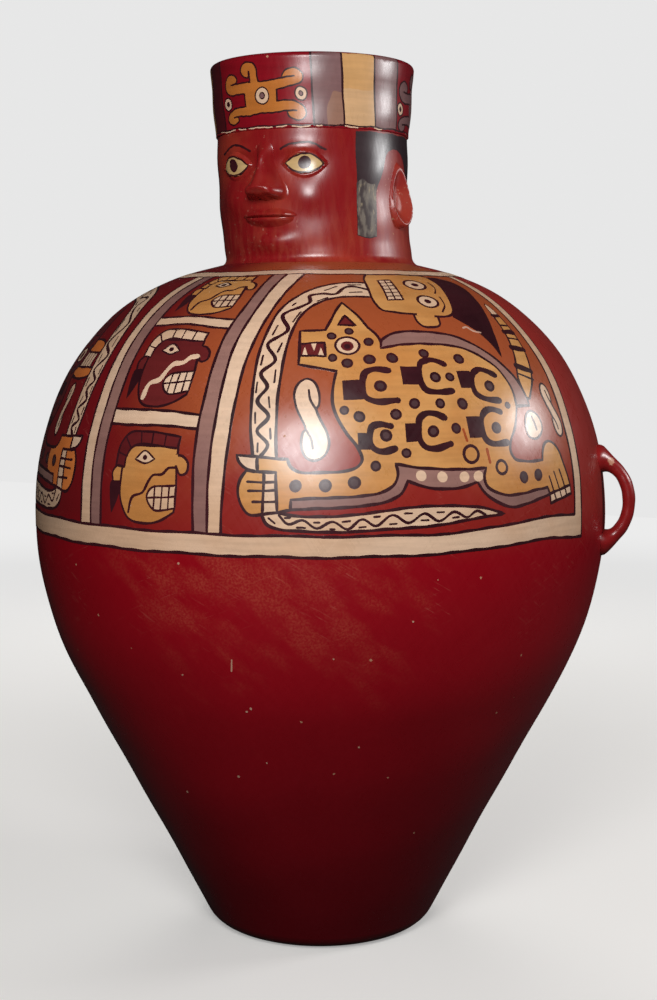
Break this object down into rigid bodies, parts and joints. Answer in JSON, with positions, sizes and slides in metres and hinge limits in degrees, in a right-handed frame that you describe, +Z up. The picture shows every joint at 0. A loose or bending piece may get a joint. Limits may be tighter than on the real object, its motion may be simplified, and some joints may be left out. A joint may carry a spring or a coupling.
{
  "type": "face-neck jar",
  "caption": "Large burnished earthenware jar with a flat base, wide belly, domed shoulder, loop handles, and a neck modelled as a head with a headdress.",
  "frame": {"origin": "centre of the flat base, on the surface that the jar stands on", "axes": "+Z up the jar's axis, -Y the way the face looks, +X towards the figure's left"},
  "size_m": [0.5112, 0.4758, 0.72],
  "materials": {
    "red_slip": "burnished satin",
    "orange_slip": "burnished satin",
    "cream_slip": "burnished satin",
    "ochre_slip": "burnished satin",
    "grey_slip": "burnished satin",
    "black_slip": "burnished satin",
    "maroon_slip": "burnished satin"
  },
  "bodies": {
    "root": {"base_dish": "red_slip", "lower_course": "red_slip", "belly_course": "red_slip", "shoulder_course": "orange_slip", "crown_course": "orange_slip", "neck_wall": "orange_slip", "headdress_band": "red_slip", "nose": "orange_slip", "upper_lip": "orange_slip", "lower_lip": "orange_slip", "left_eye": "cream_slip", "right_eye": "cream_slip", "left_ear": "orange_slip", "right_ear": "orange_slip", "left_handle": "red_slip", "right_handle": "red_slip"}
  },
  "joints": []
}
